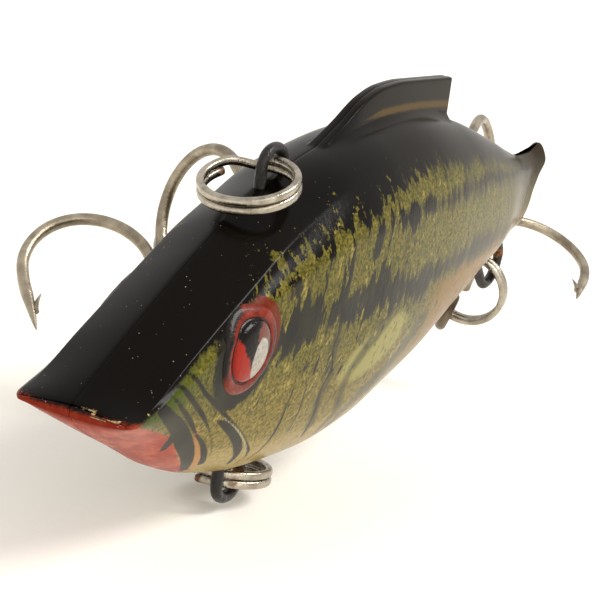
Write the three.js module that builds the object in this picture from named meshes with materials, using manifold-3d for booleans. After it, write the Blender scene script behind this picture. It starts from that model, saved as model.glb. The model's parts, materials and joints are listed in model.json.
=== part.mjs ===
// Lipless rattling crankbait: a hollow two-piece body with a flat sloping forehead, wire hangers
// moulded into its middle plane, split rings, treble hooks, ballast and captive rattle shot.
// Units are millimetres. +X runs from nose to tail, +Y is the fish's right side, +Z is up.
import * as THREE from 'three';
import { ParametricGeometry } from 'three/addons/geometries/ParametricGeometry.js';
import { mergeVertices } from 'three/addons/utils/BufferGeometryUtils.js';
import Module from 'manifold-3d';

const wasm = await Module();
wasm.setup();

// ---- Driving dimensions -------------------------------------------------------------------
const BODY_LENGTH = 68.2; // nose lip to the tip of the upper tail lobe
const WALL = 1.2; // moulded wall thickness
const SEAM_GAP = 0.05; // between the two half shells
const SKIN_END = 69; // the skin runs past the tail and is then cut to its outline
const CAVITY_START = 4.5;
const CAVITY_END = 61.5;
const FOOTPRINT = new THREE.Vector3(43, 9.07, -10.75); // centre of the footprint, lowest point

// Side outline: [distance from the nose, height], height 0 at the lip.
const BACK_LINE = [[0, 0.25], [6, 4.15], [12, 7.7], [17, 10.3], [21, 11.6], [25, 12.7], [31, 13.9],
  [38, 14.5], [46, 13.7], [54, 11.9], [60, 10.3], [63.5, 9.6], [66, 9.7], [69, 10.6]];
// The body is widest along the shoulder line. The forehead is a shallow facet that ends at an edge.
const SHOULDER_LINE = [[0, -0.2], [4.2, 1], [7.7, 2.5], [10.9, 3.9], [15.8, 6], [20, 7.2],
  [26, 8], [34, 7.6], [44, 7.1], [56, 6.6], [69, 6.3]];
const FACET_EDGE = [[0, -0.05], [2, 0.5], [6, 2.7], [12, 5.95], [16, 8], [20, 9.3], [26, 11],
  [69, 11]];
const FACET_HALF_WIDTH = [[0, 3.5], [1, 3.8], [69, 3.85]];
const FACET_FADE = { start: 14, length: 13 }; // where the facet turns into a round back
const KEEL_LINE = [[0, -0.35], [1, -1.15], [5.2, -3.3], [8.9, -5.1], [14, -6.7], [20.5, -7.7],
  [27, -7.9], [32.8, -7.3], [37, -6.1], [42, -4.6], [46, -2.9], [50, -1.2], [54.6, 0.6],
  [60, 1.9], [66, 3], [69, 3.6]];
const HALF_WIDTH = [[0, 3.55], [0.8, 3.95], [4, 4.15], [9, 4.4], [15, 4.85], [22, 5.35], [29, 5.5],
  [38, 5.15], [48, 4.25], [57, 3.05], [63, 1.9], [66, 1.4], [69, 1.3]];
const FLANK_POWER = 2.2; // how slab-sided the flank is
const FLANK_ROUND = 0.58; // how full it stays toward the keel

const FIN = { start: 22.5, shoulder: 34.5, tip: 45.6, top: 16.8, foot: 12.4, thickness: 1.5 };
const TAIL_NOTCH = { x: 64.9, z: 5.4, upperX: 68.2, upperZ: 10.4, lowerX: 66.4, lowerZ: 2.2 };
const EYE = { x: 11.8, z: 2.5, radius: 2.75, bulge: 0.55 };

// Wire staples: the arch outside the body, legs and feet inside it, in the middle plane.
const TIE = { x: 20.1, z: 11.35, halfWidth: 1.4, wire: 0.37, rise: 0.75, depth: 4.4, foot: 1.9 };
const BELLY = { x: 20.1, z: -7.75, halfWidth: 1.4, wire: 0.4, rise: 0.85, depth: 3.2, foot: 1.5 };
const TAIL = { x: 60.5, z: 1.7, halfWidth: 1.9, wire: 0.4, rise: 1.3, depth: 2.2, foot: 0 };
const ARCH_SQUASH = 0.8;
const TAIL_TURN = -0.785; // the rear hanger points down and back
const WIRE_CLEARANCE = 0.08;
const BOSS = 1; // plastic around each buried hanger leg

const RING = { radius: 2.98, wire: 0.265, pitch: 0.6, endGap: 0.45, steps: 44, sides: 6 };
const HOOK = { wire: 0.45, gap: 10, bend: 5.05, shank: 17.6, eye: 1.27, point: 4.7, barb: 1.2 };
const SHANK_OFFSET = 0.55; // from the shank's middle to each of its three wires

const BALLAST = [
  { name: 'front_ballast_weight', x: 11.75, z: -0.6, radius: 2, straight: 2.5, halfWidth: 2.2 },
  { name: 'belly_ballast_weight', x: 30.5, z: -1.6, radius: 2.1, straight: 5.8, halfWidth: 2.2 },
];
const BALLAST_CLEARANCE = 0.1;
const SOCKET_WALL = 0.8;
const SHOT = { radius: 1.9, bore: 2.2, cell: 7, wall: 0.8, sleeve: 0.7 };
const SMALL_SHOT = { radius: 1.3, bore: 1.55, cell: 5, wall: 0.8, sleeve: 0.6 };
const SHOT_GAP = 0.1; // between a shot and the end of its cell
const RATTLE_ROWS = [
  { name: 'upper_rattle_shot', kind: SHOT, x: 25.2, z: 8.5, count: 3 },
  { name: 'lower_rattle_shot', kind: SHOT, x: 21.2, z: 3.3, count: 3 },
  { name: 'tail_rattle_shot', kind: SMALL_SHOT, x: 48.6, z: 6.3, count: 2 },
];

// ---- Materials ----------------------------------------------------------------------------
const material = (color, roughness, metalness) =>
  new THREE.MeshStandardMaterial({ color, roughness, metalness });
const paintedPlastic = material(0x6b6a32, 0.25, 0);
const blackWire = material(0x1b1a18, 0.4, 0.3);
const nickel = material(0x9a9284, 0.3, 1);
const bronzedSteel = material(0x8a7d68, 0.35, 1);
const lead = material(0x77797c, 0.6, 1);
const shotSteel = material(0xb0b2b5, 0.2, 1);

// ---- Solids -------------------------------------------------------------------------------
function solid(geometry) {
  const bare = geometry.clone();
  bare.deleteAttribute('normal');
  bare.deleteAttribute('uv');
  const merged = mergeVertices(bare, 1e-4);
  const source = merged.index.array;
  const kept = [];
  for (let i = 0; i < source.length; i += 3) {
    const [a, b, c] = [source[i], source[i + 1], source[i + 2]];
    if (a !== b && b !== c && c !== a) kept.push(a, b, c);
  }
  const mesh = new wasm.Mesh({
    numProp: 3,
    vertProperties: new Float32Array(merged.attributes.position.array),
    triVerts: new Uint32Array(kept),
  });
  return new wasm.Manifold(mesh);
}

function geometryOf(manifold) {
  const mesh = manifold.getMesh();
  const geometry = new THREE.BufferGeometry();
  geometry.setAttribute('position', new THREE.BufferAttribute(new Float32Array(mesh.vertProperties), 3));
  geometry.setIndex(new THREE.BufferAttribute(new Uint32Array(mesh.triVerts), 1));
  geometry.computeVertexNormals();
  return geometry;
}

function box(x0, x1, y0, y1, z0, z1) {
  const geometry = new THREE.BoxGeometry(x1 - x0, y1 - y0, z1 - z0);
  geometry.translate((x0 + x1) / 2, (y0 + y1) / 2, (z0 + z1) / 2);
  return solid(geometry);
}

function lengthwiseCylinder(radius, length, x, z) {
  const geometry = new THREE.CylinderGeometry(radius, radius, length, 16);
  geometry.rotateZ(Math.PI / 2);
  geometry.translate(x, 0, z);
  return solid(geometry);
}

function section(radius, sides) {
  const shape = new THREE.Shape();
  for (let i = 0; i < sides; i += 1) {
    const angle = (i / sides) * 2 * Math.PI;
    const [x, y] = [radius * Math.cos(angle), radius * Math.sin(angle)];
    if (i === 0) shape.moveTo(x, y);
    else shape.lineTo(x, y);
  }
  shape.closePath();
  return shape;
}

function tube(curve, radius, steps, sides) {
  const options = { steps, bevelEnabled: false, extrudePath: curve };
  return new THREE.ExtrudeGeometry(section(radius, sides), options);
}

// ---- Body shape ---------------------------------------------------------------------------
// Smooth curve through the listed points, with slopes that never overshoot them.
function smoothLine(points) {
  const xs = points.map((p) => p[0]);
  const ys = points.map((p) => p[1]);
  const slopes = xs.slice(1).map((x, i) => (ys[i + 1] - ys[i]) / (x - xs[i]));
  const tangents = xs.map((_, i) => {
    if (i === 0) return slopes[0];
    if (i === xs.length - 1) return slopes[i - 1];
    const [before, after] = [slopes[i - 1], slopes[i]];
    return before * after <= 0 ? 0 : (2 * before * after) / (before + after);
  });
  return (x) => {
    let i = 0;
    while (i < xs.length - 2 && x > xs[i + 1]) i += 1;
    const h = xs[i + 1] - xs[i];
    const t = Math.min(1, Math.max(0, (x - xs[i]) / h));
    const [t2, t3] = [t * t, t * t * t];
    return (2 * t3 - 3 * t2 + 1) * ys[i] + (t3 - 2 * t2 + t) * h * tangents[i]
      + (3 * t2 - 2 * t3) * ys[i + 1] + (t3 - t2) * h * tangents[i + 1];
  };
}

const backAt = smoothLine(BACK_LINE);
const shoulderAt = smoothLine(SHOULDER_LINE);
const keelAt = smoothLine(KEEL_LINE);
const halfWidthAt = smoothLine(HALF_WIDTH);
const facetEdgeAt = smoothLine(FACET_EDGE);
const facetHalfWidthAt = smoothLine(FACET_HALF_WIDTH);

// Half width and height of the forehead's outline; rise is 0 at the shoulder line, 1 at the crest.
function facetOutline(x, rise, inset, width, shoulder) {
  const lift = Math.asin(Math.min(1, rise)) / (Math.PI / 2);
  const edge = Math.min(facetHalfWidthAt(x) - inset, width);
  const edgeHeight = Math.max(facetEdgeAt(x) - inset, shoulder + 0.05);
  const crest = Math.max(backAt(x) - inset, edgeHeight + 0.05);
  if (lift > 0.5) {
    const across = 2 * (1 - lift);
    return [edge * across, crest - (crest - edgeHeight) * across ** 1.2];
  }
  const down = 1 - 2 * lift;
  const bulge = 0.35 * Math.sin((down * Math.PI) / 2) + 0.65 * down * down * (3 - 2 * down);
  return [edge + (width - edge) * bulge, edgeHeight - (edgeHeight - shoulder) * down];
}

// A closed skin along the body: forehead facet or half ellipse over the shoulder line, and a
// fuller curve below it.
function bodySkin(inset, startX, endX, rings, around) {
  const skin = (u, v, target) => {
    const spread = Math.min(1, Math.max(0, (u * (rings + 2) - 1) / rings));
    const x = startX + (endX - startX) * spread ** 1.15;
    const closed = u * (rings + 2) < 0.5 || u * (rings + 2) > rings + 1.5;
    const shoulder = shoulderAt(x);
    const top = Math.max(0.1, backAt(x) - shoulder - inset);
    const bottom = Math.max(0.2, shoulder - keelAt(x) - inset);
    const width = Math.max(0.2, halfWidthAt(x) - inset);
    const angle = -v * 2 * Math.PI;
    const rise = Math.sin(angle);
    const side = Math.sign(Math.cos(angle));
    const upper = Math.abs(Math.cos(angle));
    const depth = Math.abs(rise) ** 0.9;
    const lower = (1 - Math.min(1, depth) ** FLANK_POWER) ** FLANK_ROUND;
    let y = rise >= 0 ? upper * width : lower * width;
    let z = rise >= 0 ? rise * top : -depth * bottom;
    const fade = Math.min(1, Math.max(0, (x - FACET_FADE.start) / FACET_FADE.length));
    const facet = 1 - fade * fade * (3 - 2 * fade);
    if (rise >= 0 && facet > 0) {
      const [flatY, flatZ] = facetOutline(x, rise, inset, width, shoulder);
      y += facet * (flatY - y);
      z += facet * (flatZ - shoulder - z);
    }
    if (closed) target.set(x, 0, shoulder + (top - bottom) / 2);
    else target.set(x, side * y, shoulder + z);
  };
  return solid(new ParametricGeometry(skin, rings + 2, around));
}

function sidePlate(shape, halfThickness) {
  const geometry = new THREE.ExtrudeGeometry(shape, {
    depth: 2 * halfThickness, bevelEnabled: false, curveSegments: 6,
  });
  geometry.rotateX(Math.PI / 2);
  geometry.translate(0, halfThickness, 0);
  return solid(geometry);
}

function finShape() {
  const shape = new THREE.Shape();
  shape.moveTo(FIN.start, FIN.foot - 1.2);
  shape.quadraticCurveTo(FIN.start + 5.5, FIN.foot + 1.2, FIN.shoulder - 2.6, FIN.top - 0.9);
  shape.quadraticCurveTo(FIN.shoulder, FIN.top - 0.1, FIN.shoulder + 3.4, FIN.top);
  shape.lineTo(FIN.tip, FIN.top - 0.05);
  shape.lineTo(FIN.tip - 0.25, FIN.foot);
  shape.closePath();
  return shape;
}

function tailCutShape() {
  const notch = TAIL_NOTCH;
  const shape = new THREE.Shape();
  shape.moveTo(BODY_LENGTH + 3, notch.upperZ + 2);
  shape.lineTo(notch.upperX + 0.1, notch.upperZ + 2);
  shape.lineTo(notch.upperX, notch.upperZ - 1.2);
  shape.quadraticCurveTo(notch.x - 0.6, notch.z + 1.6, notch.x, notch.z - 0.6);
  shape.quadraticCurveTo(notch.x + 0.4, notch.z - 2, notch.lowerX, notch.lowerZ);
  shape.lineTo(notch.lowerX, notch.lowerZ - 3);
  shape.lineTo(BODY_LENGTH + 3, notch.lowerZ - 3);
  shape.closePath();
  return shape;
}

// A bar with round ends, seen from the side.
function slugShape(weight, extra) {
  const radius = weight.radius + extra;
  const half = weight.straight / 2;
  const shape = new THREE.Shape();
  shape.absarc(weight.x + half, weight.z, radius, -Math.PI / 2, Math.PI / 2, false);
  shape.absarc(weight.x - half, weight.z, radius, Math.PI / 2, Math.PI * 1.5, false);
  shape.closePath();
  return shape;
}

// ---- Wire hangers -------------------------------------------------------------------------
// A staple in the middle plane: an arch outside the body, two legs and outward feet inside it.
function stapleCurve(spec, sign) {
  const points = [];
  const put = (x, z) => points.push(new THREE.Vector3(x, 0, sign * z));
  const legs = [-spec.depth * 0.62, -spec.depth * 0.28, 0];
  if (spec.foot > 0) {
    put(-spec.halfWidth - spec.foot, -spec.depth);
    put(-spec.halfWidth - spec.foot * 0.35, -spec.depth * 0.95);
  } else {
    put(-spec.halfWidth, -spec.depth);
  }
  legs.forEach((z) => put(-spec.halfWidth, z));
  const archSteps = 8;
  for (let i = 0; i <= archSteps; i += 1) {
    const angle = Math.PI * (1 - i / archSteps);
    const height = spec.halfWidth * ARCH_SQUASH * Math.sin(angle);
    put(spec.halfWidth * Math.cos(angle), spec.rise + height);
  }
  [...legs].reverse().forEach((z) => put(spec.halfWidth, z));
  if (spec.foot > 0) {
    put(spec.halfWidth + spec.foot * 0.35, -spec.depth * 0.95);
    put(spec.halfWidth + spec.foot, -spec.depth);
  } else {
    put(spec.halfWidth, -spec.depth);
  }
  return new THREE.CatmullRomCurve3(points, false, 'centripetal');
}

function stapleGeometry({ spec, sign, turn }, radius) {
  const geometry = tube(stapleCurve(spec, sign), radius, 28, 6);
  geometry.rotateY(turn);
  geometry.translate(spec.x, 0, spec.z);
  return geometry;
}

const HANGERS = [
  { name: 'line_tie_wire', spec: TIE, sign: 1, turn: 0 },
  { name: 'belly_hanger_wire', spec: BELLY, sign: -1, turn: 0 },
  { name: 'tail_hanger_wire', spec: TAIL, sign: -1, turn: TAIL_TURN },
];

function hangerBoss({ spec, sign, turn }) {
  const half = spec.halfWidth + spec.foot + spec.wire + BOSS;
  const far = spec.depth + spec.wire + BOSS;
  const geometry = new THREE.BoxGeometry(2 * half, 2 * BODY_LENGTH, far);
  geometry.translate(0, 0, (-sign * far) / 2);
  geometry.rotateY(turn);
  geometry.translate(spec.x, 0, spec.z);
  return solid(geometry);
}

// ---- Half shells --------------------------------------------------------------------------
function rattleCentre(row, index) {
  return row.x + row.kind.wall + row.kind.cell / 2 + index * (row.kind.cell + row.kind.wall);
}

function buildShells() {
  let outer = bodySkin(0, 0, SKIN_END, 25, 20).subtract(sidePlate(tailCutShape(), 6));
  outer = outer.add(sidePlate(finShape(), FIN.thickness / 2));
  const eyeSides = [-1, 1];
  eyeSides.forEach((side) => {
    const dome = new THREE.SphereGeometry(1, 14, 10);
    dome.scale(EYE.radius, 1.1, EYE.radius);
    dome.translate(EYE.x, side * (eyeSkinY() + EYE.bulge - 1.1), EYE.z);
    outer = outer.add(solid(dome));
  });
  let cavity = bodySkin(WALL, CAVITY_START, CAVITY_END, 12, 12);
  const cuts = [];
  RATTLE_ROWS.forEach((row) => {
    const { kind } = row;
    const length = row.count * (kind.cell + kind.wall) + kind.wall;
    const middle = row.x + length / 2;
    cavity = cavity.subtract(lengthwiseCylinder(kind.bore + kind.sleeve, length, middle, row.z));
    for (let i = 0; i < row.count; i += 1) {
      cuts.push(lengthwiseCylinder(kind.bore, kind.cell, rattleCentre(row, i), row.z));
    }
  });
  BALLAST.forEach((weight) => {
    cavity = cavity.subtract(sidePlate(slugShape(weight, BALLAST_CLEARANCE + SOCKET_WALL), 6));
    cuts.push(sidePlate(slugShape(weight, BALLAST_CLEARANCE), weight.halfWidth + BALLAST_CLEARANCE));
  });
  HANGERS.forEach((hanger) => {
    cavity = cavity.subtract(hangerBoss(hanger));
    const groove = hanger.spec.wire + WIRE_CLEARANCE;
    cuts.push(solid(stapleGeometry(hanger, groove)));
  });
  let hollow = outer.subtract(cavity);
  cuts.forEach((cut) => {
    hollow = hollow.subtract(cut);
  });
  const left = hollow.intersect(box(-5, 80, -20, -SEAM_GAP / 2, -20, 30));
  const right = hollow.intersect(box(-5, 80, SEAM_GAP / 2, 20, -20, 30));
  return { left, right };
}

function eyeSkinY() {
  const shoulder = shoulderAt(EYE.x);
  const depth = (shoulder - EYE.z) / (shoulder - keelAt(EYE.x));
  return halfWidthAt(EYE.x) * (1 - depth ** FLANK_POWER) ** FLANK_ROUND;
}

// ---- Split rings --------------------------------------------------------------------------
// Two flat coils with one crossover. Local +X runs from the hanger to the far side, +Z is normal.
class SplitRingCurve extends THREE.Curve {
  getPoint(t, target = new THREE.Vector3()) {
    const angle = RING.endGap + t * (4 * Math.PI - 2 * RING.endGap);
    const cross = Math.min(1, Math.max(-1, (angle - 2 * Math.PI) / RING.endGap));
    const height = (RING.pitch / 2) * Math.sin((cross * Math.PI) / 2);
    return target.set(RING.radius * Math.cos(angle), RING.radius * Math.sin(angle), height);
  }
}

function splitRingGeometry(endAngle) {
  const geometry = tube(new SplitRingCurve(), RING.wire, RING.steps, RING.sides);
  geometry.rotateZ(endAngle);
  geometry.translate(RING.radius, 0, 0);
  return geometry;
}

// ---- Treble hooks -------------------------------------------------------------------------
// Local axes: the eye's centre at the origin, the shank along +Z, the eye's hole along X.
function bendPoints(angle) {
  const out = new THREE.Vector3(Math.cos(angle), Math.sin(angle), 0);
  const at = (reach, z) => out.clone().multiplyScalar(reach).setZ(z);
  const points = [0.3, 0.55, 0.8, 0.93].map((share) => at(SHANK_OFFSET, HOOK.shank * share));
  const middle = (HOOK.gap + SHANK_OFFSET) / 2;
  const bendSteps = 8;
  for (let i = 0; i <= bendSteps; i += 1) {
    const turn = (Math.PI * i) / bendSteps;
    const reach = middle - (HOOK.gap - middle) * Math.cos(turn);
    points.push(at(reach, HOOK.shank + HOOK.bend * Math.sin(turn)));
  }
  points.push(at(HOOK.gap, HOOK.shank - HOOK.point * 0.5));
  return points;
}

function hookPoint(angle) {
  const tip = new THREE.ConeGeometry(HOOK.wire, HOOK.point * 0.55, 8);
  tip.rotateX(-Math.PI / 2);
  tip.translate(HOOK.gap, 0, HOOK.shank - HOOK.point * 0.725);
  const barb = new THREE.ConeGeometry(HOOK.wire * 0.55, HOOK.barb, 6);
  barb.rotateX(Math.PI / 2);
  barb.rotateY(-0.55);
  barb.translate(HOOK.gap - HOOK.wire * 0.95, 0, HOOK.shank - HOOK.point * 0.5);
  const solids = [tip, barb].map((geometry) => solid(geometry.rotateZ(angle)));
  return solids[0].add(solids[1]);
}

// Two of the three bends are one wire: up one shank, around the eye and down the other.
function doubleHook() {
  const spread = Math.PI / 3;
  const side = SHANK_OFFSET * Math.sin(spread);
  const back = SHANK_OFFSET * Math.cos(spread);
  const path = bendPoints(spread).reverse();
  path.push(new THREE.Vector3(back, side, HOOK.eye * 2));
  const loopSteps = 10;
  for (let i = 0; i <= loopSteps; i += 1) {
    const angle = Math.PI / 3 - (i / loopSteps) * (Math.PI * 5 / 3);
    path.push(new THREE.Vector3(0, HOOK.eye * Math.cos(angle), HOOK.eye * Math.sin(angle)));
  }
  path.push(new THREE.Vector3(back, -side, HOOK.eye * 2));
  path.push(...bendPoints(-spread));
  const wire = new THREE.CatmullRomCurve3(path, false, 'centripetal');
  const hook = solid(tube(wire, HOOK.wire, 100, 6));
  return geometryOf(hook.add(hookPoint(spread)).add(hookPoint(-spread)));
}

// The third bend is a single wire brazed along the other two.
function singleHook() {
  const wire = new THREE.CatmullRomCurve3(bendPoints(Math.PI), false, 'centripetal');
  return geometryOf(solid(tube(wire, HOOK.wire, 32, 6)).add(hookPoint(Math.PI)));
}

// ---- Where the loose pieces lie -----------------------------------------------------------
// Each ring threads its hanger at `at` and reaches toward `along`; `side` is its wire's direction
// there, and the axis it swings about.
const RINGS = [
  {
    name: 'line_tie_split_ring',
    at: [20.1, 0, 12.19],
    along: [-0.94, 0, -0.342],
    side: [0, 1, 0],
    wireEnd: 2.5,
  },
  {
    name: 'belly_split_ring',
    at: [20.1, 0, -8.53],
    along: [0.83, 0.55, -0.09],
    side: [-0.53, 0.84, 0.03],
    wireEnd: 2,
  },
  {
    name: 'tail_split_ring',
    at: [61.55, 0, 0.65],
    along: [0.146, 0.552, -0.82],
    side: [-0.25, 0.81, 0.5],
    wireEnd: 2,
  },
];
// Each treble hangs from a ring's far side. `shank` points from its eye to its crown, and `bend`
// is the direction of its single bend.
const TREBLES = [
  { name: 'belly_treble', ring: 1, shank: [0.505, 0.659, 0.559], bend: [-0.682, 0.707, -0.186] },
  { name: 'tail_treble', ring: 2, shank: [0.94, 0.23, 0.26], bend: [0.31, -0.9, -0.3] },
];

const unit = (xyz) => new THREE.Vector3(...xyz).normalize();

// The part of `vector` square to `axis`, at unit length.
function squareTo(vector, axis) {
  return vector.clone().addScaledVector(axis, -vector.dot(axis)).normalize();
}

function add(parent, name, geometry, paint) {
  const mesh = new THREE.Mesh(geometry, paint);
  mesh.name = name;
  parent.add(mesh);
  return mesh;
}

function frameAt(origin, xAxis, zAxis) {
  const holder = new THREE.Group();
  const yAxis = zAxis.clone().cross(xAxis);
  holder.quaternion.setFromRotationMatrix(new THREE.Matrix4().makeBasis(xAxis, yAxis, zAxis));
  holder.position.copy(origin);
  return holder;
}

function ringFrame(ring) {
  const along = unit(ring.along);
  const side = squareTo(unit(ring.side), along);
  return frameAt(new THREE.Vector3(...ring.at), along, along.clone().cross(side));
}

function trebleFrame(treble) {
  const ring = RINGS[treble.ring];
  const eye = new THREE.Vector3(...ring.at).addScaledVector(unit(ring.along), 2 * RING.radius);
  const shank = unit(treble.shank);
  return frameAt(eye, squareTo(unit(treble.bend).negate(), shank), shank);
}

// ---- Assembly -----------------------------------------------------------------------------
const lure = new THREE.Group();
lure.position.copy(FOOTPRINT).negate();

const shells = buildShells();
add(lure, 'left_body_shell', geometryOf(shells.left), paintedPlastic);
add(lure, 'right_body_shell', geometryOf(shells.right), paintedPlastic);
HANGERS.forEach((hanger) => {
  add(lure, hanger.name, stapleGeometry(hanger, hanger.spec.wire), blackWire);
});

BALLAST.forEach((weight) => {
  add(lure, weight.name, geometryOf(sidePlate(slugShape(weight, 0), weight.halfWidth)), lead);
});

RATTLE_ROWS.forEach((row) => {
  for (let i = 0; i < row.count; i += 1) {
    const shot = new THREE.SphereGeometry(row.kind.radius, 10, 7);
    const mesh = add(lure, `${row.name}_${i + 1}`, shot, shotSteel);
    const rest = rattleCentre(row, i) - row.kind.cell / 2 + row.kind.radius + SHOT_GAP;
    mesh.position.set(rest, 0, row.z);
  }
});

RINGS.forEach((ring) => {
  const holder = ringFrame(ring);
  add(holder, ring.name, splitRingGeometry(ring.wireEnd), nickel);
  lure.add(holder);
});

TREBLES.forEach((treble) => {
  const holder = trebleFrame(treble);
  add(holder, `${treble.name}_double_hook`, doubleHook(), bronzedSteel);
  add(holder, `${treble.name}_single_hook`, singleHook(), bronzedSteel);
  lure.add(holder);
});

const group = new THREE.Group();
group.add(lure);

export default group;
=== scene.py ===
import json
import math

import bpy
import numpy as np
from mathutils import Matrix, Vector


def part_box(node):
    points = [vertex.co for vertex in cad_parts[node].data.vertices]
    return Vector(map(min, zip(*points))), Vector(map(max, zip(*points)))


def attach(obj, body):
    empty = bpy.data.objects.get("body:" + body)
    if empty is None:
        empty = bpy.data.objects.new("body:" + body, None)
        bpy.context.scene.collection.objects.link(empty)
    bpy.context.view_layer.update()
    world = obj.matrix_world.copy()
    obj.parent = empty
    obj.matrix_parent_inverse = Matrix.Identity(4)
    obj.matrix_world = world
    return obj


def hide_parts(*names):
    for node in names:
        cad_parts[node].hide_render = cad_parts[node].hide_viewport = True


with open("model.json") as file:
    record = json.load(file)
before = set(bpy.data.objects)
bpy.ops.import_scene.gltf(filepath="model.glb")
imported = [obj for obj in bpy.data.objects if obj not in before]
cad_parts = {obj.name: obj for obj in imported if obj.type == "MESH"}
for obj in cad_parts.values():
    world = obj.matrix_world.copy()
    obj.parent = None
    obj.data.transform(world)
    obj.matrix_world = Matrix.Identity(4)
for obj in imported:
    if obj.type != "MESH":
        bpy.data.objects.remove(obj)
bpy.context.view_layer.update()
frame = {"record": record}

MM = 0.001
FOOTPRINT = np.array([43, 9.07, -10.75])  # row frame's origin, in the body's own frame


def to_row(points):
    return (np.asarray(points, float) - FOOTPRINT) * MM


def unit(vector):
    vector = np.asarray(vector, float)
    return vector / np.linalg.norm(vector)


# ---- Camera, light and floor ---------------------------------------------------------------
CAMERA_AT = (-89.535, -55.271, 31.965)
CAMERA_TARGET = (26.906, 0, 2.462)
CAMERA_ROLL = 0.1492
CAMERA_LENS = 120


def aim(obj, at, target, roll=0.0):
    at, target = to_row(at), to_row(target)
    turn = Vector(target - at).to_track_quat("-Z", "Y").to_matrix().to_4x4()
    obj.matrix_world = Matrix.Translation(at) @ turn @ Matrix.Rotation(roll, 4, "Z")


def link(obj):
    bpy.context.scene.collection.objects.link(obj)
    return obj


def make_camera():
    camera = link(bpy.data.objects.new("camera", bpy.data.cameras.new("camera")))
    camera.data.lens = CAMERA_LENS
    camera.data.sensor_width = 36
    camera.data.clip_start = 0.005
    aim(camera, CAMERA_AT, CAMERA_TARGET, CAMERA_ROLL)
    bpy.context.scene.camera = camera


def soft_sun(name, come_from, strength, spread, colour):
    """Even light from a wide soft patch of sky; spread is the patch's width in degrees."""
    light = bpy.data.lights.new(name, "SUN")
    light.energy = strength
    light.angle = math.radians(spread)
    light.color = colour
    aim(link(bpy.data.objects.new(name, light)), 300 * np.array(come_from), (0, 0, 0))


def make_lights():
    soft_sun("overhead_light", (0.33, -0.6, 0.73), 1.9, 21, (1, 0.985, 0.95))
    soft_sun("side_light", (-0.5, -0.8, 0.35), 0.8, 50, (1, 0.98, 0.94))
    world = bpy.data.worlds.new("studio")
    world.use_nodes = True
    background = world.node_tree.nodes["Background"]
    background.inputs["Color"].default_value = (1, 0.975, 0.94, 1)
    background.inputs["Strength"].default_value = 0.9
    bpy.context.scene.world = world
    bpy.context.scene.view_settings.view_transform = "Standard"


# ---- Meshes and curves ---------------------------------------------------------------------
def piece(name, points, faces, material, body, stands_for, crease=35):
    mesh = bpy.data.meshes.new(name)
    mesh.from_pydata(to_row(points).tolist(), [], faces)
    mesh.polygons.foreach_set("use_smooth", np.ones(len(mesh.polygons), bool))
    mesh.set_sharp_from_angle(angle=math.radians(crease))
    mesh.materials.append(material)
    obj = link(bpy.data.objects.new(name, mesh))
    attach(obj, body)
    if stands_for:
        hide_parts(stands_for)
    return obj


def set_attribute(obj, name, values):
    attribute = obj.data.attributes.new(name, "FLOAT", "POINT")
    attribute.data.foreach_set("value", np.asarray(values, np.float32))


def smooth_line(points, x):
    """Height of the smooth curve through the points at x; its slopes never overshoot them."""
    xs, ys = np.array(points, float).T
    slope = np.diff(ys) / np.diff(xs)
    before, after = slope[:-1], slope[1:]
    same = before * after > 0
    inner = np.where(same, 2 * before * after / np.where(same, before + after, 1), 0)
    tangent = np.concatenate([slope[:1], inner, slope[-1:]])
    i = np.clip(np.searchsorted(xs, x) - 1, 0, len(xs) - 2)
    h = xs[i + 1] - xs[i]
    t = np.clip((x - xs[i]) / h, 0, 1)
    rise = (3 * t**2 - 2 * t**3) * (ys[i + 1] - ys[i])
    lean = (t**3 - 2 * t**2 + t) * tangent[i] + (t**3 - t**2) * tangent[i + 1]
    return ys[i] + rise + h * lean


def curve_through(points, count):
    """Centripetal Catmull-Rom curve through the points, as `count` evenly spaced points."""
    p = np.asarray(points, float)
    p = np.vstack([2 * p[0] - p[1], p, 2 * p[-1] - p[-2]])
    dense = []
    for a, b, c, d in zip(p, p[1:], p[2:], p[3:]):
        t0 = 0
        t1, t2, t3 = np.cumsum([np.linalg.norm(q) ** 0.5 for q in (b - a, c - b, d - c)])
        t = np.linspace(t1, t2, 13)[:-1, None]
        ab = (t1 - t) / (t1 - t0) * a + (t - t0) / (t1 - t0) * b
        bc = (t2 - t) / (t2 - t1) * b + (t - t1) / (t2 - t1) * c
        cd = (t3 - t) / (t3 - t2) * c + (t - t2) / (t3 - t2) * d
        abc = (t2 - t) / (t2 - t0) * ab + (t - t0) / (t2 - t0) * bc
        bcd = (t3 - t) / (t3 - t1) * bc + (t - t1) / (t3 - t1) * cd
        dense.append((t2 - t) / (t2 - t1) * abc + (t - t1) / (t2 - t1) * bcd)
    dense = np.vstack([*dense, p[-2:-1]])
    steps = np.linalg.norm(np.diff(dense, axis=0), axis=1)
    along = np.concatenate([[0], np.cumsum(steps)])
    even = np.linspace(0, along[-1], count)
    return np.stack([np.interp(even, along, dense[:, k]) for k in range(dense.shape[1])], 1)


def grid_faces(rows, columns, wrap=False, start=0):
    """Quads between neighbouring rows of points; `wrap` closes each row on itself."""
    across = columns if wrap else columns - 1
    i, j = np.meshgrid(np.arange(rows - 1), np.arange(across), indexing="ij")
    following = (j + 1) % columns
    quads = [i * columns + j, i * columns + following]
    quads += [(i + 1) * columns + following, (i + 1) * columns + j]
    return (np.stack(quads, -1).reshape(-1, 4) + start).tolist()


def tube_faces(rows, columns, start=0):
    """A closed tube's faces: its wall, then its first and its last end."""
    last = start + (rows - 1) * columns
    wall = grid_faces(rows, columns, wrap=True, start=start)
    return wall + [list(range(start, start + columns))[::-1], list(range(last, last + columns))]


def reversed_faces(faces):
    return [face[::-1] for face in faces]


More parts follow.
